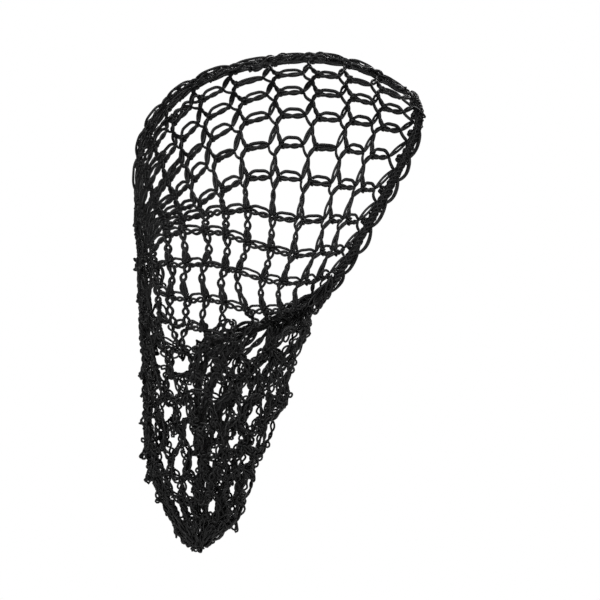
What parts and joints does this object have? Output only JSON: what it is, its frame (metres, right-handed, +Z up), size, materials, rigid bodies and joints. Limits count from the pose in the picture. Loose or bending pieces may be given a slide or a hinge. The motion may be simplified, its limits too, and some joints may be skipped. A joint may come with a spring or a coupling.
{
  "type": "crocheted snood hairnet",
  "caption": "Open-mesh crocheted hairnet in its worn form, with an elastic edge band and a slack gathered tail drawn up at its tip.",
  "frame": {"origin": "the spot inside the crown that rests on top of the head", "axes": "+X the way the wearer faces, +Y the wearer's left, +Z up"},
  "size_m": [0.2097, 0.1612, 0.3484],
  "materials": {
    "net_cord": "twisted rayon cord, soft sheen",
    "band_elastic": "dense crochet over elastic, soft sheen"
  },
  "bodies": {
    "root": {"net_bag": "net_cord", "edge_band": "band_elastic", "tip_gather": "net_cord"}
  },
  "joints": []
}
